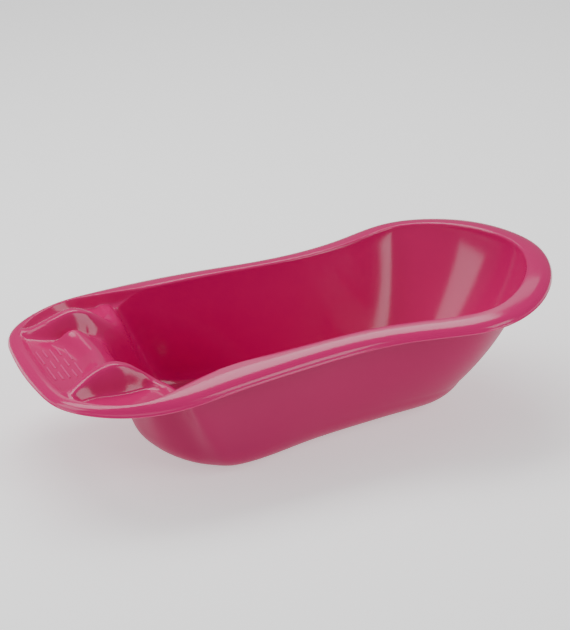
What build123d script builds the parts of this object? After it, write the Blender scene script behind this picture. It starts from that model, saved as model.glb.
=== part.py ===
"""Baby bathtub: a one-piece moulded shell with two soap dishes and a tray, and a drain set in its floor.

The long axis is X with the foot end at -X, +Z is up, and the origin is on the ground under the middle.
Half outlines run on the +Y side from the foot end to the head end.
"""

import os
from math import cos, radians, sin

from build123d import *

# Tub
WALL = 2.2
BASE_Z = 14.0  # the standing ring lifts the floor clear of the drain's nut
LIP_EDGE = 4.0
RING_OUTLINE = [
    (-238, 0), (-227, 52), (-192, 90), (-150, 108), (-90, 102), (0, 76),
    (90, 56), (170, 42), (225, 32), (255, 18), (262, 0),
]
RING_THICKNESS = 4.0
SKIM = 0.1  # the floor plate stands this much proud of the shell that it closes
RIM_HALF_WIDTH = 246.0
RIM_SHOULDER = (0.13, 0.5)  # two points of the rim's curve, as parts of its width
RIM_SHOULDER_RISE = 0.5
RIM_RISE = 0.87  # most of the rim's height is gained in its outer half
ROUND_OUT = 0.22  # middle of the base rounding, as parts of its radius past and above the base corner
ROUND_UP = 0.25
ROUND_NORMAL = radians(50)  # way that the rounding's middle faces
LOW_BULGE = 0.4  # what is left of the wall's bulge where the rounding starts
TALL = 320.0
FLOOR_OVERLAP = 8.0  # the floor plate laps this far under the shell
FLOOR_START = 0.9  # the shell reaches its flat this many rounding radii in from the base corner

# Vertical sections from the foot end round the +Y side to the head end: lip point, base corner,
# rim width, deck length, height of the rim's inner edge, rim drop, wall bulge, base rounding
SECTIONS = [
    ((-500, 0), (-288, 0), 24, 134, 202, 16, 0, 38),
    ((-495, 100), (-276, 68), 24, 133, 202, 15, 0, 38),
    ((-462, 180), (-252, 112), 24, 124, 203, 14, 0, 38),
    ((-410, 217), (-236, 133), 22, 98, 205, 14, 0, 38),
    ((-356, 238), (-218, 148), 24, 60, 208, 16, 0, 38),
    ((-298, 246), (-196, 163), 42, 6, 215, 18, 0, 38),
    ((-240, 243), (-170, 171), 50, 3, 222, 20, 0, 38),
    ((-150, 231), (-110, 164), 48, 3, 232, 20, 2, 38),
    ((-50, 218), (-38, 145), 44, 3, 238, 21, 3, 39),
    ((60, 211), (58, 121), 41, 3, 243, 21, 4, 40),
    ((150, 216), (142, 102), 41, 3, 247, 20, 5, 41),
    ((240, 237), (208, 91), 41, 3, 253, 20, 8, 42),
    ((314, 245), (257, 82), 42, 3, 259, 20, 12, 43),
    ((392, 213), (288, 64), 42, 3, 268, 18, 16, 44),
    ((459, 137), (305, 40), 42, 3, 275, 16, 18, 45),
    ((491, 66), (313, 19), 42, 3, 277, 15, 18, 45),
    ((500, 0), (315, 0), 42, 3, 278, 15, 18, 45),
]

# Foot deck, on the +Y side of X; the ridge's side profile is X and Z
RIDGE_CREST = [
    (-540, 196), (-474, 202), (-402, 231), (-372, 240), (-350, 235), (-320, 217), (-296, 206), (-240, 198),
]
RIDGE_OUTLINE = [
    (-474, 128), (-456, 108), (-400, 80), (-366, 56), (-344, 66), (-328, 98), (-300, 112), (-278, 140),
    (-272, 200), (-298, 206), (-302, 160), (-326, 136), (-372, 134), (-408, 124), (-430, 117), (-462, 139),
]
DISH_OUTLINE = [
    (-450, 138), (-428, 116), (-404, 123), (-334, 136), (-302, 160), (-304, 204), (-366, 212), (-428, 180),
]
DISH_CORNER_R = 9.0
DISH_FLOOR_Z = 191.0
DISH_CUP_TOP = 206.0
RIDGE_FOOT_Z = 198.0
TRAY_OUTLINE = [(-468, 0), (-466, 96), (-452, 105), (-400, 77), (-380, 60), (-374, 40), (-372, 0)]
TRAY_FLOOR_Z = 195.0
DAM_Z = 214.0
BAR_WIDTH = 2.4
BAR_HEIGHT = 1.6
BAR_PITCH = 12.6
BAR_START_X = -458.0
# Rows of bars from the foot end: how many, their spacing and their length
BAR_ROWS = [(2, 66, 54), (3, 46, 32), (2, 66, 54), (3, 46, 32), (2, 66, 54), (1, 0, 62)]

# Drain set
DRAIN_X = -195.0
HOLE_R = 19.0
SEAT_R = 30.0
SEAT_DEPTH = 2.5
SPIGOT_R = 18.6
SPIGOT_END_Z = 2.8
BORE_R = 15.0
FLANGE_R = 27.0
FLANGE_T = 2.4
GASKET_T = 1.5
GASKET_R = FLANGE_R - 1.0
WASHER_T = 1.2
NUT_BODY_R = 22.5
NUT_LUG_R = 25.5
NUT_LUG_WIDTH = 5.0
NUT_LUG_ROUND = 1.0
NUT_LUGS = 8
NUT_T = 6.5
FIT = 0.05
STRAINER_BAR = 2.2
STRAINER_HUB_R = 4.0
STRAINER_TURNS = (0, 60, 120)
LAP = 1.0  # bars and lugs run this far into what carries them

# Stopper
LID_R = 20.0
LID_T = 3.0
LID_GAP = 0.3
PLUG_R = 13.7
PLUG_LENGTH = 9.0
PLUG_CHAMFER = 1.5
LID_ROUND = 1.2
SEAL_WIRE_R = 1.3
SEAL_GAP = 0.1
SEAL_BELOW_LID = 5.0
EYE_LENGTH = 9.0
EYE_WIDTH = 4.0
EYE_HOLE_R = 2.0
EYE_RISE = 4.6
PULL_R = 9.0
PULL_WIRE_R = 1.3
PULL_DROOP = 8.0

# Heights that follow
FLOOR_Z = BASE_Z + WALL
SEAT_Z = FLOOR_Z - SEAT_DEPTH
FLANGE_Z = SEAT_Z + GASKET_T
FLANGE_TOP = FLANGE_Z + FLANGE_T
WASHER_Z = SEAT_Z - WALL - WASHER_T
NUT_Z = WASHER_Z - NUT_T
LID_Z = FLANGE_TOP + LID_GAP
SEAL_Z = LID_Z - SEAL_BELOW_LID
EYE_Z = LID_Z + LID_T + EYE_RISE
SEAL_CENTRE_R = BORE_R - SEAL_GAP - SEAL_WIRE_R
GROOVE_HALF = SEAL_WIRE_R + FIT

os.makedirs("parts", exist_ok=True)


def both_sides(points):
    """A half outline followed by its other half, back towards the start."""
    return points + [(x, -y) for x, y in points[-2:0:-1]]


def on_both_sides(solid):
    """A solid and its mirror image across X."""
    return [solid, mirror(solid, about=Plane.XZ, mode=Mode.PRIVATE)]


def section(lip, base, rim_width, deck, crest_z, drop, bulge, rounding):
    """One closed section of the shell, in the upright plane from the lip to the base corner."""
    inwards = Vector(base[0] - lip[0], base[1] - lip[1])
    reach = inwards.length
    inwards = inwards.normalized()
    plane = Plane(origin=(lip[0], lip[1], 0), x_dir=(inwards.X, inwards.Y, 0), z_dir=(inwards.Y, -inwards.X, 0))
    lip_z = crest_z - drop - LIP_EDGE
    brow = rim_width + deck
    with BuildSketch(plane, mode=Mode.PRIVATE) as sketch:
        with BuildLine():
            rim = rim_curve(0, rim_width, crest_z, drop)
            wall = wall_curve(brow, crest_z, reach, bulge, rounding, WALL)
            under_rim = rim_curve(WALL, rim_width, crest_z - WALL, drop)
            under_wall = wall_curve(brow - WALL, crest_z - WALL, reach, bulge, rounding, 0)
            Line(rim @ 1, wall @ 0)
            Line(wall @ 1, under_wall @ 1)
            Line(under_wall @ 0, under_rim @ 1)
            Polyline(under_rim @ 0, (WALL, lip_z), (0, lip_z), rim @ 0)
        make_face()
    return sketch.sketch


def rim_curve(edge, width, top_z, drop):
    """The rim's quarter of an ellipse, from its outer edge up to its inner edge."""
    shoulder, brow = RIM_SHOULDER
    low_z = top_z - drop
    return Spline(
        (edge, low_z), (edge + (width - edge) * shoulder, low_z + drop * RIM_SHOULDER_RISE),
        (edge + (width - edge) * brow, low_z + drop * RIM_RISE), (width, top_z),
        tangents=[(0, 1), (1, 0)],
    )


def wall_curve(top_u, top_z, reach, bulge, rounding, thickness):
    """The bowl's wall from its top down to the flat of the floor."""
    floor_z = BASE_Z + thickness
    low_z = BASE_Z + rounding
    slope = (reach - top_u) / (top_z - BASE_Z)
    low_u = reach - slope * rounding
    mid_u = (top_u + low_u) / 2 - bulge + thickness / 2
    mid_z = (top_z + low_z) / 2
    return Spline(
        (top_u, top_z), (mid_u, mid_z), (low_u + thickness - bulge * LOW_BULGE, low_z),
        (reach + rounding * ROUND_OUT + thickness * cos(ROUND_NORMAL),
         BASE_Z + rounding * ROUND_UP + thickness * sin(ROUND_NORMAL)),
        (reach + rounding * FLOOR_START, floor_z),
        tangents=[(slope, -1), (1, 0)],
    )


def prism(points, low_z, high_z, grow=0, corner_r=0):
    """An upright block over a closed plan outline, with rounded corners and grown sideways."""
    with BuildPart(mode=Mode.PRIVATE) as solid:
        with BuildSketch(Plane.XY.offset(low_z)) as plan:
            with BuildLine():
                Polyline(points, close=True)
            make_face()
            if corner_r:
                fillet(plan.vertices(), corner_r)
            if grow:
                offset(amount=grow)
        extrude(amount=high_z - low_z)
    return solid.part


def below_ridge(drop):
    """Everything below the ridges' side profile."""
    with BuildPart(mode=Mode.PRIVATE) as solid:
        with BuildSketch(Plane.XZ):
            with BuildLine():
                top = Spline([(x, z - drop) for x, z in RIDGE_CREST])
                Polyline(top @ 1, (RIDGE_CREST[-1][0], 0), (RIDGE_CREST[0][0], 0), top @ 0)
            make_face()
        extrude(amount=RIM_HALF_WIDTH, both=True)
    return solid.part


def floor_corner(lip, base, rounding):
    """A corner of the floor plate, just outside where a section reaches the flat."""
    inwards = (Vector(*base) - Vector(*lip)).normalized()
    corner = Vector(*base) + inwards * (rounding * FLOOR_START - FLOOR_OVERLAP)
    return (corner.X, corner.Y)


# Shell: bowl, rim and deck
floor_edge = [floor_corner(row[0], row[1], row[-1]) for row in SECTIONS]
with BuildPart() as half_shell:
    for row in SECTIONS:
        add(section(*row))
    loft(ruled=True)

# Foot deck: ridges and pockets as blocks and as the hollows inside them
ridge_top = below_ridge(0)
ridge_under = below_ridge(WALL)
with BuildPart() as ridge:
    add(prism(RIDGE_OUTLINE, RIDGE_FOOT_Z, TALL))
    add(ridge_top, mode=Mode.INTERSECT)
with BuildPart() as ridge_hollow:
    add(prism(RIDGE_OUTLINE, 0, TALL, -WALL))
    add(ridge_under, mode=Mode.INTERSECT)
with BuildPart() as dish_wall:
    add(prism(DISH_OUTLINE, DISH_FLOOR_Z, TALL, WALL, DISH_CORNER_R))
    add(ridge.part, mode=Mode.INTERSECT)
dish_cup = prism(DISH_OUTLINE, DISH_FLOOR_Z - WALL, DISH_CUP_TOP, WALL, DISH_CORNER_R)
dish_hollow = prism(DISH_OUTLINE, DISH_FLOOR_Z, TALL, 0, DISH_CORNER_R)
tray_hollow = prism(both_sides(TRAY_OUTLINE), TRAY_FLOOR_Z, TALL)

# The standing ring under the floor
with BuildPart() as ring:
    add(prism(both_sides(RING_OUTLINE), 0, BASE_Z))
    add(prism(both_sides(RING_OUTLINE), 0, BASE_Z, -RING_THICKNESS), mode=Mode.SUBTRACT)

with BuildPart() as tub:
    add(on_both_sides(half_shell.part))
    add(prism(both_sides(floor_edge), BASE_Z - SKIM, FLOOR_Z + SKIM))
    add(ring.part)
    with Locations((DRAIN_X, 0, SEAT_Z - WALL)):
        Cylinder(SEAT_R + WALL, SEAT_DEPTH + WALL, align=(Align.CENTER, Align.CENTER, Align.MIN))
    add(on_both_sides(ridge.part))
    add(on_both_sides(ridge_hollow.part), mode=Mode.SUBTRACT)
    add(on_both_sides(dish_wall.part))
    add(on_both_sides(dish_cup))
    add(prism(both_sides(TRAY_OUTLINE), TRAY_FLOOR_Z - WALL, DAM_Z, WALL))
    add(on_both_sides(dish_hollow), mode=Mode.SUBTRACT)
    add(tray_hollow, mode=Mode.SUBTRACT)
    with Locations((DRAIN_X, 0, SEAT_Z)):
        Cylinder(SEAT_R, TALL, align=(Align.CENTER, Align.CENTER, Align.MIN), mode=Mode.SUBTRACT)
    with Locations((DRAIN_X, 0, 0)):
        Cylinder(HOLE_R, TALL, align=(Align.CENTER, Align.CENTER, Align.MIN), mode=Mode.SUBTRACT)
    for row, (count, spacing, length) in enumerate(BAR_ROWS):
        with BuildSketch(Plane.XY.offset(TRAY_FLOOR_Z)):
            with Locations((BAR_START_X + row * BAR_PITCH, 0)):
                with GridLocations(0, spacing, 1, count):
                    SlotOverall(length, BAR_WIDTH, rotation=90)
        extrude(amount=BAR_HEIGHT)


# Drain set: every piece is round about the drain's axis
def ring_piece(inner_r, outer_r, low_z, height):
    """A plain ring on the drain's axis."""
    with BuildPart(mode=Mode.PRIVATE) as solid:
        with BuildSketch(Plane.XY.offset(low_z)):
            with Locations((DRAIN_X, 0)):
                Circle(outer_r)
                Circle(inner_r, mode=Mode.SUBTRACT)
        extrude(amount=height)
    return solid.part


with BuildPart() as drain_outlet:
    add(ring_piece(BORE_R, SPIGOT_R, SPIGOT_END_Z, FLANGE_TOP - SPIGOT_END_Z))
    add(ring_piece(BORE_R, FLANGE_R, FLANGE_Z, FLANGE_T))
    flange_rim = drain_outlet.edges().filter_by(GeomType.CIRCLE).group_by(Axis.Z)[-1].sort_by(SortBy.RADIUS)[-1]
    fillet(flange_rim, FLANGE_T / 2)
    with Locations((DRAIN_X, 0, SPIGOT_END_Z)):
        for turn in STRAINER_TURNS:
            Box(
                2 * BORE_R + LAP, STRAINER_BAR, STRAINER_BAR, rotation=(0, 0, turn),
                align=(Align.CENTER, Align.CENTER, Align.MIN),
            )
        Cylinder(STRAINER_HUB_R, STRAINER_BAR, align=(Align.CENTER, Align.CENTER, Align.MIN))

with BuildPart() as drain_gasket:
    add(ring_piece(SPIGOT_R + FIT, GASKET_R, SEAT_Z, GASKET_T))

with BuildPart() as slip_washer:
    add(ring_piece(SPIGOT_R + FIT, NUT_BODY_R, WASHER_Z, WASHER_T))

with BuildPart() as drain_nut:
    add(ring_piece(SPIGOT_R + FIT, NUT_BODY_R, NUT_Z, NUT_T))
    with BuildSketch(Plane.XY.offset(NUT_Z)):
        with Locations((DRAIN_X, 0)):
            with PolarLocations((NUT_BODY_R + NUT_LUG_R - LAP) / 2, NUT_LUGS):
                RectangleRounded(NUT_LUG_R - NUT_BODY_R + LAP, NUT_LUG_WIDTH, NUT_LUG_ROUND)
    extrude(amount=NUT_T)

with BuildPart() as drain_stopper:
    with Locations((DRAIN_X, 0, LID_Z - PLUG_LENGTH)):
        Cylinder(PLUG_R, PLUG_LENGTH + LID_T, align=(Align.CENTER, Align.CENTER, Align.MIN))
    chamfer(drain_stopper.faces().sort_by(Axis.Z)[0].edges(), PLUG_CHAMFER)
    with Locations((DRAIN_X, 0, LID_Z)):
        Cylinder(LID_R, LID_T, align=(Align.CENTER, Align.CENTER, Align.MIN))
    fillet(drain_stopper.faces().sort_by(Axis.Z)[-1].edges(), LID_ROUND)
    groove = ring_piece(SEAL_CENTRE_R - GROOVE_HALF, LID_R, SEAL_Z - GROOVE_HALF, 2 * GROOVE_HALF)
    add(groove, mode=Mode.SUBTRACT)
    with BuildSketch(Plane.XZ.offset(EYE_WIDTH / 2)):
        with Locations((DRAIN_X, EYE_Z)):
            Circle(EYE_LENGTH / 2)
        with Locations((DRAIN_X, (LID_Z + EYE_Z) / 2)):
            Rectangle(EYE_LENGTH, EYE_Z - LID_Z)
        with Locations((DRAIN_X, EYE_Z)):
            Circle(EYE_HOLE_R, mode=Mode.SUBTRACT)
    extrude(amount=-EYE_WIDTH)

with BuildPart() as stopper_seal:
    with Locations((DRAIN_X, 0, SEAL_Z)):
        Torus(SEAL_CENTRE_R, SEAL_WIRE_R)

# The pull ring hangs in the eye and leans down onto the lid
with BuildPart() as stopper_pull_ring:
    droop = Vector(cos(radians(PULL_DROOP)), 0, -sin(radians(PULL_DROOP)))
    centre = Vector(DRAIN_X, 0, EYE_Z) + droop * PULL_R
    ring_plane = Plane(origin=centre, x_dir=droop, z_dir=droop.rotate(Axis.Y, -90))
    with Locations(ring_plane):
        Torus(PULL_R, PULL_WIRE_R)

pieces = {
    "tub": tub, "drain_outlet": drain_outlet, "drain_gasket": drain_gasket, "slip_washer": slip_washer,
    "drain_nut": drain_nut, "drain_stopper": drain_stopper, "stopper_seal": stopper_seal,
    "stopper_pull_ring": stopper_pull_ring,
}
for name, piece in pieces.items():
    piece.part.label = name
    export_step(piece.part, f"parts/{name}.step")
    print(name, round(piece.part.volume), "mm3", len(piece.part.solids()), "solid")
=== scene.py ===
"""Baby bathtub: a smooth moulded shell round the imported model, with its materials, studio and camera."""

from math import cos, pi, sin

import bmesh
import bpy
import numpy as np
from mathutils import Matrix, Vector


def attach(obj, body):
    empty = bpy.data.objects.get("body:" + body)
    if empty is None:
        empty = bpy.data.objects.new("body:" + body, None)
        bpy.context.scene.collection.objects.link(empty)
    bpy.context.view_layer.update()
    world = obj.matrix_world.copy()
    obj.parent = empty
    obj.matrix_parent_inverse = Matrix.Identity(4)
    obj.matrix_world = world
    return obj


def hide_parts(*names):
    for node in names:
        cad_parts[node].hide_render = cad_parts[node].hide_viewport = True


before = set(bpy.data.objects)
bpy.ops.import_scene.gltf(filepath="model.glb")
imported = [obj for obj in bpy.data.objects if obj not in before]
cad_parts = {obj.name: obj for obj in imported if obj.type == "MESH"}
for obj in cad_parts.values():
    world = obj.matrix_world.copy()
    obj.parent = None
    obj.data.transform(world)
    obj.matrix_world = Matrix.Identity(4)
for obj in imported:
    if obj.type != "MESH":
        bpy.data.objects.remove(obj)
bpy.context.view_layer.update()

MM = 0.001  # shapes are worked out in millimetres, in the frame's axes

# ---------------------------------------------------------------- tub
WALL = 2.2
BASE_Z = 14.0  # underside of the floor
FLOOR_Z = BASE_Z + WALL
ROUNDED_TO = 0.9  # the flat of the floor starts this many rounding radii in from the base corner
EDGE_R = 5.0  # rounding of the rim's inner edge
BEAD = 1.2  # the lip's bead stands out this far
BEAD_HEIGHT = 3.0
# Heights above the lip, and how much of BEAD the bead stands out there
BEAD_PROFILE = ((0, 0.5), (0.8, 1), (2.2, 0.9), (BEAD_HEIGHT, 0.35))
RIM_START = 1.0  # the rim's curve starts this far above its bead
RIM_FULLNESS = 0.95  # under 1 makes the rim's section fuller than a quarter of an ellipse
BULGE_FULLNESS = 0.8

# Stations from the foot end round the +Y side to the head end:
# outer lip x, y, z; rim's inner edge x, y, z; top of the bowl's wall x, y, z; base corner x, y;
# how far the wall bulges; and the rounding of the base
STATIONS = np.array([
    (-500, 0, 184, -476, 0, 202, -328, 0, 186, -288, 0, 0, 38),
    (-497, 79, 186, -474, 77, 202, -325, 52, 186, -280, 50, 0, 38),
    (-483, 147, 187, -462, 138, 202, -320, 88, 187, -264, 92, 0, 38),
    (-435, 202, 187, -425, 186, 203, -294, 108, 187, -240, 129, 0, 38),
    (-361, 236, 188, -356, 219, 208, -269, 147, 187, -214, 151, 0, 38),
    (-289, 245, 193, -289, 208, 216, -264, 188, 191, -184, 167, 1, 38),
    (-202, 238, 203, -207, 188, 227, -206, 183, 222, -146, 171, 1, 38),
    (-97, 225, 212, -103, 180, 235, -102, 175, 230, -84, 158, 2, 38),
    (8, 212, 218, 4, 173, 240, 4, 168, 235, 2, 132, 3, 39),
    (106, 211, 225, 109, 172, 245, 108, 167, 240, 101, 111, 4, 40),
    (199, 228, 231, 207, 189, 250, 205, 184, 245, 176, 97, 6, 41),
    (289, 246, 238, 290, 205, 258, 287, 201, 253, 238, 86, 10, 42),
    (376, 220, 246, 354, 184, 266, 350, 181, 261, 276, 71, 14, 44),
    (449, 151, 256, 414, 126, 274, 410, 124, 269, 302, 48, 18, 45),
    (487, 76, 261, 448, 63, 277, 443, 62, 272, 312, 24, 18, 45),
    (500, 0, 263, 460, 0, 278, 455, 0, 273, 315, 0, 18, 45),
], dtype=float)
Y_COLUMNS = [1, 4, 7, 10]  # columns that change sign on the other side
FOOT_STEP = 2.0  # spacing of the mesh's columns at the foot end, and elsewhere
BODY_STEP = 6.0
FOOT_STATIONS = 6

# Ridge between the tray, the dishes and the bowl: x, y and height of the middle of its top
RIDGE = np.array([
    (-484, 150, 198), (-462, 136, 204), (-436, 123, 216), (-414, 116, 228), (-395, 115, 236),
    (-375, 117, 241), (-356, 118, 237), (-336, 117, 226), (-317, 119, 215), (-302, 127, 206),
    (-293, 142, 201), (-288, 160, 198), (-286, 178, 197), (-286, 196, 197), (-286, 214, 197),
], dtype=float)
RIDGE_HALF = 8.5  # half of the width of its flat top
RIDGE_ROUND = 12.0
RIDGE_SLOPE = 3.6  # fall of its sides towards the tray and the dishes, and towards the bowl
BOWL_SLOPE = 3.0
BOWL_SIDE_FROM = (-400, -372)  # X where its inner side goes over from one slope to the other
LEDGE_SLOPE = 0.2  # fall of the ledge between the ridge and the bowl's wall
LINE_SOFTNESS = 20  # half of the length that a line is smoothed over

# Dam between the tray and the bowl: x, y and height of the middle of its top
DAM = np.array([(-371, 0, 212), (-374, 30, 213), (-378, 56, 215), (-386, 84, 220)], dtype=float)
DAM_HALF = 3.0
DAM_ROUND = 5.0
DAM_TRAY_SLOPE = 0.95
DAM_BOWL_SLOPE = 0.75
FAR_BELOW = -1000.0

TRAY_Z = 195.0
DISH_Z = 190.5
BLEND = 5.0  # rounding where floors meet walls, and where walls meet each other
CORNER_BLEND = 16.0
POCKET_SLOPE = 3.6  # fall of the rim's inner edge into the dishes and the tray

# Rows of the mesh, from the lip to the floor
RIM_ROWS = 14
DECK_ROWS = 76
SOFTENED = 12  # passes that soften the moulding's edges on the deck
BROW_ROWS = (18, 18)  # rows of deck and wall that round over into each other where the deck is wide
BROW_PASSES = 110
BROW_REACH = (24.0, 90.0)  # depth of deck at which the rounding starts and is full
WALL_ROWS = 48
ROUND_ROWS = 12

DRAIN_X = -195.0
HOLE_R = 19.0
SEAT_R = 30.0  # the shallow seat that the drain's flange lies in
SEAT_Z = 13.7
SEAT_ROUND = 0.6
CIRCLE_STEPS = 72

# Outline of the standing ring under the floor
RING = np.array([
    (-238, 0), (-227, 52), (-192, 90), (-150, 108), (-90, 102), (0, 76),
    (90, 56), (170, 42), (225, 32), (255, 18), (262, 0),
], dtype=float)
RING_THICKNESS = 4.0
RING_FOOT = [(0, 0.8), (0.3, 0.2), (0.9, 0)]  # rounded edge of its foot: in from the face, and up
RING_LAP = 1.0  # it runs this far into the floor
RING_STEPS = 240

BAR_HALF_WIDTH = 2.0
BAR_HEIGHT = 2.2
BAR_SUNK = 0.6
BAR_TIP = 0.03  # part of the half width that is left at the top of its rounding
BAR_LEVELS = 6
BAR_STEPS = 16
BAR_PITCH = 12.6
BAR_START_X = -458.0
# Rows of bars from the foot end: how many, their spacing and their length
BAR_ROWS = [(2, 66, 54), (3, 46, 32), (2, 66, 54), (3, 46, 32), (2, 66, 54), (1, 0, 62)]


def closed_loop(rows, y_columns):
    """The rows followed by their mirror images, back towards the first."""
    mirrored = rows[-2:0:-1].copy()
    mirrored[:, y_columns] *= -1
    return np.vstack([rows, mirrored])


def chord_along(loop):
    """Distance along a closed loop's plan to each point and back to the first, and each side's length."""
    closed = np.vstack([loop, loop[:1]])
    lengths = np.linalg.norm(np.diff(closed[:, :2], axis=0), axis=1)
    return np.concatenate([[0], np.cumsum(lengths)]), lengths


def periodic_spline(rows, chord, samples):
    """A periodic cubic spline through the rows, at the parameter values in samples."""
    count = len(rows)
    steps = np.diff(chord)
    system = np.zeros((count, count))
    right = np.zeros_like(rows)
    for i in range(count):
        before, after = steps[i - 1], steps[i]
        system[i, i - 1] += before
        system[i, i] += 2 * (before + after)
        system[i, (i + 1) % count] += after
        right[i] = 6 * ((rows[(i + 1) % count] - rows[i]) / after - (rows[i] - rows[i - 1]) / before)
    curve = np.linalg.solve(system, right)
    piece = np.clip(np.searchsorted(chord, samples, side="right") - 1, 0, count - 1)
    h = steps[piece][:, None]
    a = (chord[piece + 1] - samples)[:, None]
    b = (samples - chord[piece])[:, None]
    low, high = rows[piece], rows[(piece + 1) % count]
    m0, m1 = curve[piece], curve[(piece + 1) % count]
    return (m0 * a ** 3 + m1 * b ** 3) / (6 * h) + (low / h - m0 * h / 6) * a + (high / h - m1 * h / 6) * b


def sampled_stations():
    """Dense stations round the whole tub, closer together at the foot end."""
    loop = closed_loop(STATIONS, Y_COLUMNS)
    chord, lengths = chord_along(loop)
    samples = []
    count = len(loop)
    for i, length in enumerate(lengths):
        near_foot = i < FOOT_STATIONS or i >= count - FOOT_STATIONS
        pieces = int(round(length / (FOOT_STEP if near_foot else BODY_STEP)))
        samples.append(chord[i] + length * np.arange(pieces) / pieces)
    return periodic_spline(loop, chord, np.concatenate(samples))


def smooth_max(a, b, width):
    """The larger of the two, with the crossing rounded over."""
    near = np.maximum(width - np.abs(a - b), 0) / width
    return np.maximum(a, b) + near * near * width / 4


def resample(line, step=1.0):
    """Points along a polyline, smoothed, one step apart."""
    lengths = np.linalg.norm(np.diff(line[:, :2], axis=0), axis=1)
    along = np.concatenate([[0], np.cumsum(lengths)])
    want = np.arange(0, along[-1], step)
    dense = np.stack([np.interp(want, along, line[:, k]) for k in range(3)], axis=1)
    kernel = np.hanning(2 * LINE_SOFTNESS + 1)
    kernel /= kernel.sum()
    padded = np.pad(dense, ((LINE_SOFTNESS, LINE_SOFTNESS), (0, 0)), mode="reflect", reflect_type="odd")
    return np.stack([np.convolve(padded[:, k], kernel, mode="valid") for k in range(3)], axis=1)


def near_line(x, y, line):
    """Distance to a line, the height there, and which side of it each point is on."""
    points = np.stack([x.ravel(), y.ravel()], axis=1)
    distance = np.full(len(points), np.inf)
    nearest = np.zeros(len(points), dtype=int)
    for i, point in enumerate(line):
        d = np.hypot(points[:, 0] - point[0], points[:, 1] - point[1])
        closer = d < distance
        distance[closer] = d[closer]
        nearest[closer] = i
    forward = np.gradient(line[:, :2], axis=0)[nearest]
    offset = points - line[nearest, :2]
    side = forward[:, 0] * offset[:, 1] - forward[:, 1] * offset[:, 0]
    return distance.reshape(x.shape), line[nearest, 2].reshape(x.shape), np.sign(side).reshape(x.shape)


def falling(distance, half, slope, rounding):
    """How far a rounded shoulder has dropped at a distance from its middle."""
    past = np.maximum(distance - half, 0) * slope
    return np.sqrt(past * past + rounding * rounding) - rounding


def deck_height(x, y, from_edge, to_wall, edge_z, wall_top_z):
    """Height of the foot deck and of the top of the bowl."""
    across = np.abs(y)
    ridge = resample(RIDGE)
    far, top, side = near_line(x, across, ridge)
    in_dish = side > 0
    inner_slope = np.interp(x, BOWL_SIDE_FROM, (RIDGE_SLOPE, BOWL_SLOPE))
    slope = np.where(in_dish, RIDGE_SLOPE, inner_slope)
    ridge_z = top - falling(far, RIDGE_HALF, slope, RIDGE_ROUND)

    dam = resample(DAM)
    far, top, side = near_line(x, across, dam)
    slope = np.where(side > 0, DAM_TRAY_SLOPE, DAM_BOWL_SLOPE)
    dam_z = np.where(across > DAM[-1, 1], FAR_BELOW, top - falling(far, DAM_HALF, slope, DAM_ROUND))

    in_bowl = x > np.interp(across, DAM[:, 1], DAM[:, 0])
    floor = np.where(in_dish, DISH_Z, np.where(in_bowl, wall_top_z + to_wall * LEDGE_SLOPE, TRAY_Z))

    turned = np.clip(from_edge / EDGE_R, 0, 1)
    edge = edge_z - EDGE_R * (1 - np.sqrt(1 - turned * turned))
    edge -= np.maximum(from_edge - EDGE_R, 0) * POCKET_SLOPE
    walls = smooth_max(edge, ridge_z, CORNER_BLEND)
    height = smooth_max(floor, dam_z, BLEND)
    return smooth_max(height, walls, BLEND)


def round_brow(rows, reach):
    """Rounds the deck over into the bowl's wall at the foot end."""
    first = len(rows) - WALL_ROWS - BROW_ROWS[0]
    last = len(rows) - WALL_ROWS + BROW_ROWS[1]
    band = np.array(rows[first:last])
    share = np.interp(reach, BROW_REACH, (0, 0.5))[:, None]
    for _ in range(BROW_PASSES):
        band[1:-1] += share * ((band[:-2] + band[2:]) / 2 - band[1:-1])
    rows[first:last] = list(band)


def rim_rows(outer, inner):
    """The bead along the outer lip, and the rounded rim up to its inner edge."""
    outward = outer[:, :2] - inner[:, :2]
    width = np.linalg.norm(outward, axis=1, keepdims=True)
    outward = outward / width
    rows = []
    for bead_z, bead_out in BEAD_PROFILE:
        plan = outer[:, :2] + outward * BEAD * bead_out - outward * BEAD
        rows.append(np.column_stack([plan, outer[:, 2] + bead_z]))
    start_z = outer[:, 2] + BEAD_HEIGHT + RIM_START
    for k in range(RIM_ROWS):
        angle = pi / 2 * k / RIM_ROWS
        across = (1 - cos(angle)) ** RIM_FULLNESS
        plan = outer[:, :2] - outward * BEAD - outward * (width - BEAD) * across
        z = start_z + (inner[:, 2] - start_z) * sin(angle) ** RIM_FULLNESS
        rows.append(np.column_stack([plan, z]))
    return rows


def deck_rows(inner, top, reach):
    """The foot deck and, elsewhere, the narrow step between the rim and the bowl's wall."""
    t = np.linspace(0, 1, DECK_ROWS + 1)[:, None]
    x = inner[:, 0] + (top[:, 0] - inner[:, 0]) * t
    y = inner[:, 1] + (top[:, 1] - inner[:, 1]) * t
    deck = deck_height(x, y, reach * t, reach * (1 - t), inner[:, 2], top[:, 2])
    for _ in range(SOFTENED):
        along = (np.roll(deck, 1, axis=1) + np.roll(deck, -1, axis=1)) / 2
        deck = (deck + along) / 2
        deck[1:-1] = deck[1:-1] / 2 + (deck[:-2] + deck[2:]) / 4
    return list(np.stack([x, y, deck], axis=2))


def wall_rows(top, top_z, foot, foot_z, outward, bulge):
    """The bowl's wall, from its top to where the base's rounding starts."""
    rows = []
    for k in range(1, WALL_ROWS + 1):
        v = k / WALL_ROWS
        bulged = outward * bulge[:, None] * sin(pi * v) ** BULGE_FULLNESS
        plan = top[:, :2] + (foot - top[:, :2]) * v + bulged
        rows.append(np.column_stack([plan, top_z + (foot_z - top_z) * v]))
    return rows


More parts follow.
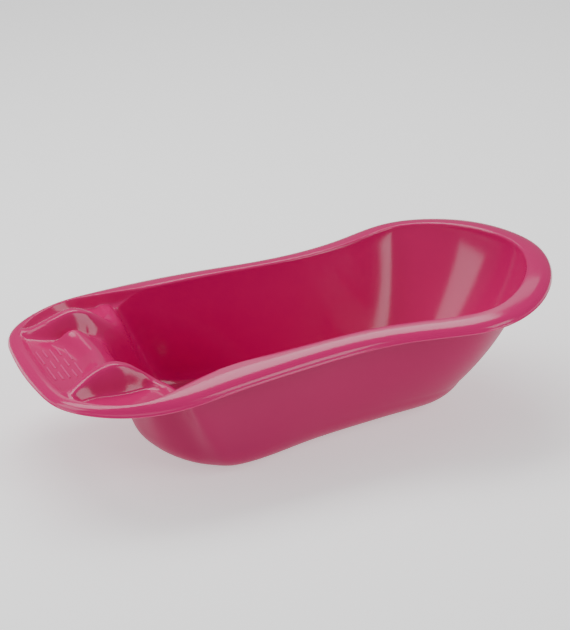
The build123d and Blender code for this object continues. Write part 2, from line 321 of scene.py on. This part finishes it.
def base_rows(base, rounding, foot, foot_z):
    """The rounding between the wall and the flat floor."""
    tangent = np.roll(base, -1, axis=0) - np.roll(base, 1, axis=0)
    tangent /= np.linalg.norm(tangent, axis=1, keepdims=True)
    inwards = np.column_stack([tangent[:, 1], -tangent[:, 0]])
    flat = base + inwards * ROUNDED_TO * rounding[:, None]
    rows = []
    for k in range(1, ROUND_ROWS + 1):
        v = k / ROUND_ROWS
        plan = foot * (1 - v) ** 2 + base * 2 * v * (1 - v) + flat * v * v
        z = foot_z * (1 - v) ** 2 + FLOOR_Z * (2 * v * (1 - v) + v * v)
        rows.append(np.column_stack([plan, z]))
    return rows


def tub_rows():
    """The tub's inner skin as rows of points, from the outer lip to the edge of the flat floor."""
    s = sampled_stations()
    outer, inner, top, base = s[:, 0:3], s[:, 3:6], s[:, 6:9], s[:, 9:11]
    bulge, rounding = s[:, 11], s[:, 12]
    reach = np.linalg.norm(top[:, :2] - inner[:, :2], axis=1)
    rows = rim_rows(outer, inner) + deck_rows(inner, top, reach)

    top_z = rows[-1][:, 2]
    foot_z = FLOOR_Z + rounding
    down = base - top[:, :2]
    outward = -down / np.linalg.norm(down, axis=1, keepdims=True)
    share = (top_z - foot_z) / (top_z - FLOOR_Z)
    foot = top[:, :2] + down * share[:, None]
    rows += wall_rows(top, top_z, foot, foot_z, outward, bulge)
    round_brow(rows, reach)
    return rows + base_rows(base, rounding, foot, foot_z)


def add_ring(mesh, points):
    """Vertices of one closed row."""
    return [mesh.verts.new(Vector(p) * MM) for p in points]


def bridge(mesh, low, high):
    """Quads between two closed rows of the same length."""
    count = len(low)
    for i in range(count):
        after = (i + 1) % count
        mesh.faces.new((low[i], low[after], high[after], high[i]))


def circle(radius, z):
    """Points of a circle on the drain's axis."""
    return [
        (DRAIN_X + radius * cos(2 * pi * k / CIRCLE_STEPS), radius * sin(2 * pi * k / CIRCLE_STEPS), z)
        for k in range(CIRCLE_STEPS)
    ]


def fill_floor(mesh, outside, inside):
    """Faces of the flat floor between its edge and the seat."""
    mesh.verts.index_update()
    edges = []
    for loop in (outside, inside):
        for i, vertex in enumerate(loop):
            edges.append(mesh.edges.get((vertex, loop[(i + 1) % len(loop)])))
    bmesh.ops.triangle_fill(mesh, edges=edges, use_beauty=True)


def finish_mesh(mesh, name):
    """An object in the scene with the mesh."""
    data = bpy.data.meshes.new(name)
    mesh.to_mesh(data)
    mesh.free()
    piece = bpy.data.objects.new(name, data)
    bpy.context.collection.objects.link(piece)
    return piece


def build_tub():
    """The shell: its inner skin as a mesh, and its thickness as a modifier."""
    mesh = bmesh.new()
    rows = [add_ring(mesh, row) for row in tub_rows()]
    for low, high in zip(rows, rows[1:]):
        bridge(mesh, low, high)
    seat = [
        add_ring(mesh, circle(SEAT_R + SEAT_ROUND, FLOOR_Z)),
        add_ring(mesh, circle(SEAT_R, FLOOR_Z - SEAT_ROUND)),
        add_ring(mesh, circle(SEAT_R, SEAT_Z + SEAT_ROUND)),
        add_ring(mesh, circle(SEAT_R - SEAT_ROUND, SEAT_Z)),
        add_ring(mesh, circle(HOLE_R, SEAT_Z)),
    ]
    for low, high in zip(seat, seat[1:]):
        bridge(mesh, low, high)
    fill_floor(mesh, rows[-1], seat[0])
    bmesh.ops.recalc_face_normals(mesh, faces=mesh.faces)
    highest = max(mesh.faces, key=lambda f: f.calc_center_median().z)
    if highest.normal.z < 0:
        bmesh.ops.reverse_faces(mesh, faces=mesh.faces)
    shell = finish_mesh(mesh, "tub_shell")
    solid = shell.modifiers.new("wall", "SOLIDIFY")
    solid.thickness = WALL * MM
    solid.offset = -1
    solid.material_offset = 1
    solid.material_offset_rim = 0
    return shell


def build_ring():
    """The standing ring under the floor."""
    loop = closed_loop(RING, [1])
    chord = chord_along(loop)[0]
    outline = periodic_spline(loop, chord, np.linspace(0, chord[-1], RING_STEPS, endpoint=False))
    along = np.roll(outline, -1, axis=0) - np.roll(outline, 1, axis=0)
    along /= np.linalg.norm(along, axis=1, keepdims=True)
    inward = np.column_stack([along[:, 1], -along[:, 0]])
    if np.mean(np.sum(inward * outline, axis=1)) > 0:
        inward = -inward
    top = BASE_Z + RING_LAP
    inner_foot = [(RING_THICKNESS - u, z) for u, z in reversed(RING_FOOT)]
    profile = [(0, top), *RING_FOOT, *inner_foot, (RING_THICKNESS, top)]
    mesh = bmesh.new()
    rings = []
    for u, z in profile:
        rings.append(add_ring(mesh, np.column_stack([outline + inward * u, np.full(RING_STEPS, z)])))
    for low, high in zip(rings, rings[1:] + rings[:1]):
        bridge(mesh, low, high)
    bmesh.ops.recalc_face_normals(mesh, faces=mesh.faces)
    return finish_mesh(mesh, "tub_ring")


def add_bar(mesh, x, y, length):
    """One bar with rounded ends and a rounded top, along Y."""
    half = length / 2 - BAR_HALF_WIDTH
    rings = []
    for level in range(BAR_LEVELS):
        lift = pi / 2 * level / (BAR_LEVELS - 1)
        radius = BAR_HALF_WIDTH * max(cos(lift), BAR_TIP)
        z = TRAY_Z - BAR_SUNK + (BAR_HEIGHT + BAR_SUNK) * sin(lift)
        points = []
        for step in range(BAR_STEPS):
            turn = 2 * pi * step / BAR_STEPS
            end = half if sin(turn) >= 0 else -half
            points.append((x + radius * cos(turn), y + end + radius * sin(turn), z))
        rings.append(add_ring(mesh, points))
    for low, high in zip(rings, rings[1:]):
        bridge(mesh, low, high)
    mesh.faces.new(rings[-1])
    mesh.faces.new(rings[0][::-1])


def build_bars():
    """The raised bars on the tray's floor."""
    mesh = bmesh.new()
    for row, (count, spacing, length) in enumerate(BAR_ROWS):
        for k in range(count):
            add_bar(mesh, BAR_START_X + row * BAR_PITCH, (k - (count - 1) / 2) * spacing, length)
    bmesh.ops.recalc_face_normals(mesh, faces=mesh.faces)
    return finish_mesh(mesh, "tray_bars")


# ---------------------------------------------------------------- materials
DRIFT_SCALE = 6.0
DRIFT_DETAIL = 3.0
DRIFT_DARKEST = 0.9  # the darkest of the colour's drift, as a part of the colour
GLOSS_SPREAD = 0.04  # roughness varies by this much each way
GRAIN_DETAIL = 2.0
GRAIN_DEPTH = 0.0004


def material(name, color, roughness, grain=900.0, bump=0.03, shine=0.5):
    """A moulded surface: slight colour drift, fine grain in its gloss and a shallow ripple."""
    mat = bpy.data.materials.new(name)
    mat.use_nodes = True
    nodes, links = mat.node_tree.nodes, mat.node_tree.links
    shader = nodes["Principled BSDF"]
    coords = nodes.new("ShaderNodeTexCoord")
    drift = nodes.new("ShaderNodeTexNoise")
    drift.inputs["Scale"].default_value = DRIFT_SCALE
    drift.inputs["Detail"].default_value = DRIFT_DETAIL
    links.new(coords.outputs["Object"], drift.inputs["Vector"])
    ramp = nodes.new("ShaderNodeMix")
    ramp.data_type = "RGBA"
    ramp.inputs["A"].default_value = (*(c * DRIFT_DARKEST for c in color), 1)
    ramp.inputs["B"].default_value = (*color, 1)
    links.new(drift.outputs["Fac"], ramp.inputs["Factor"])
    links.new(ramp.outputs["Result"], shader.inputs["Base Color"])
    fine = nodes.new("ShaderNodeTexNoise")
    fine.inputs["Scale"].default_value = grain
    fine.inputs["Detail"].default_value = GRAIN_DETAIL
    links.new(coords.outputs["Object"], fine.inputs["Vector"])
    gloss = nodes.new("ShaderNodeMapRange")
    gloss.inputs["To Min"].default_value = roughness - GLOSS_SPREAD
    gloss.inputs["To Max"].default_value = roughness + GLOSS_SPREAD
    links.new(drift.outputs["Fac"], gloss.inputs["Value"])
    links.new(gloss.outputs["Result"], shader.inputs["Roughness"])
    relief = nodes.new("ShaderNodeBump")
    relief.inputs["Strength"].default_value = bump
    relief.inputs["Distance"].default_value = GRAIN_DEPTH
    links.new(fine.outputs["Fac"], relief.inputs["Height"])
    links.new(relief.outputs["Normal"], shader.inputs["Normal"])
    shader.inputs["Specular IOR Level"].default_value = shine
    return mat


tub_inside = material("tub_gloss", (0.62, 0.008, 0.145), 0.15)
# painted highlight: the bars are a lighter pink than the tub's plastic, standing in for the light their
# edges catch
bar_painted_highlight = material("bar_painted_highlight", (0.74, 0.05, 0.24), 0.16)
# painted shade: the outside (and the ring) is the inside's plastic given a darker colour, shading it in
# the colour itself besides its satin gloss
tub_outside_painted_shade = material("tub_satin_painted_shade", (0.40, 0.006, 0.092), 0.40, grain=1500.0, bump=0.10, shine=0.25)
white_plastic = material("drain_white", (0.80, 0.80, 0.77), 0.28, grain=1200.0)
nut_plastic = material("nut_grey", (0.62, 0.63, 0.62), 0.45, grain=1600.0, bump=0.10)
rubber = material("seal_black", (0.03, 0.03, 0.033), 0.6, grain=2200.0, bump=0.25)

# ---------------------------------------------------------------- pieces
shell = build_tub()
ring = build_ring()
bars = build_bars()
for piece, mats in ((shell, (tub_inside, tub_outside_painted_shade)), (ring, (tub_outside_painted_shade,)), (bars, (bar_painted_highlight,))):
    for mat in mats:
        piece.data.materials.append(mat)
    piece.data.polygons.foreach_set("use_smooth", [True] * len(piece.data.polygons))
    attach(piece, "tub_body")
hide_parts("tub")

finishes = {
    "drain_outlet": white_plastic, "drain_stopper": white_plastic, "stopper_pull_ring": white_plastic,
    "drain_nut": nut_plastic, "slip_washer": nut_plastic, "drain_gasket": rubber, "stopper_seal": rubber,
}
for node, mat in finishes.items():
    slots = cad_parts[node].data.materials
    if not slots:
        slots.append(mat)
    for index in range(len(slots)):
        slots[index] = mat

# ---------------------------------------------------------------- studio, in metres
FLOOR_HALF = 12.0
FLOOR_GREY = 0.9
FLOOR_ROUGHNESS = 0.9
FLOOR_GLOW = 0.55
WORLD_STRENGTH = 0.25
CAMERA_PLACE = (-1.5371, -3.7659, 2.1183)
CAMERA_FORWARD = (0.34070, 0.83904, -0.42420)
CAMERA_RIGHT = (0.92653, -0.37622, 0)
CAMERA_LENS = 142.3
CAMERA_SENSOR = 36
CAMERA_REACH = 60

# Name, place, point aimed at, width, height and watts
LIGHTS = [
    ("overhead", (-0.2, 1.0, 2.6), (0, 0, 0.1), 3.0, 1.4, 60),
    ("left", (-2.6, 0.1, 1.6), (0.2, 0.1, 0.2), 1.7, 2.2, 33),
    ("right", (1.9, -2.55, 1.85), (0.1, 0.1, 0.2), 1.9, 2.4, 48),
    ("back", (1.2, 3.0, 3.0), (0, 0, 0.2), 3.6, 1.0, 14),
]


def build_floor():
    """A plain pale floor."""
    half = FLOOR_HALF
    data = bpy.data.meshes.new("studio_floor")
    corners = [(-half, -half, 0), (half, -half, 0), (half, half, 0), (-half, half, 0)]
    data.from_pydata(corners, [], [(0, 1, 2, 3)])
    pale = bpy.data.materials.new("studio_white")
    pale.use_nodes = True
    inputs = pale.node_tree.nodes["Principled BSDF"].inputs
    inputs["Base Color"].default_value = (FLOOR_GREY, FLOOR_GREY, FLOOR_GREY, 1)
    inputs["Roughness"].default_value = FLOOR_ROUGHNESS
    inputs["Emission Color"].default_value = (1, 1, 1, 1)
    inputs["Emission Strength"].default_value = FLOOR_GLOW
    data.materials.append(pale)
    floor = bpy.data.objects.new("studio_floor", data)
    bpy.context.collection.objects.link(floor)


def build_world():
    """Even white light from all round."""
    world = bpy.data.worlds.new("studio")
    world.use_nodes = True
    inputs = world.node_tree.nodes["Background"].inputs
    inputs["Color"].default_value = (1, 1, 1, 1)
    inputs["Strength"].default_value = WORLD_STRENGTH
    bpy.context.scene.world = world


def softbox(name, place, aim, width, height, watts):
    """A rectangular light that faces a point."""
    light = bpy.data.lights.new(name, "AREA")
    light.shape = "RECTANGLE"
    light.size = width
    light.size_y = height
    light.energy = watts
    lamp = bpy.data.objects.new(name, light)
    lamp.location = place
    lamp.rotation_euler = (Vector(aim) - Vector(place)).to_track_quat("-Z", "Y").to_euler()
    bpy.context.collection.objects.link(lamp)


def build_camera():
    """The camera, from its place and the directions that it looks along and has on its right."""
    data = bpy.data.cameras.new("camera")
    data.lens = CAMERA_LENS
    data.sensor_width = CAMERA_SENSOR
    data.clip_end = CAMERA_REACH
    forward = Vector(CAMERA_FORWARD).normalized()
    right = Vector(CAMERA_RIGHT).normalized()
    up = right.cross(forward)
    turned = Matrix((
        (right.x, up.x, -forward.x, 0),
        (right.y, up.y, -forward.y, 0),
        (right.z, up.z, -forward.z, 0),
        (0, 0, 0, 1),
    ))
    camera = bpy.data.objects.new("camera", data)
    camera.matrix_world = Matrix.Translation(CAMERA_PLACE) @ turned
    bpy.context.collection.objects.link(camera)
    bpy.context.scene.camera = camera


build_floor()
build_world()
for row in LIGHTS:
    softbox(*row)
build_camera()
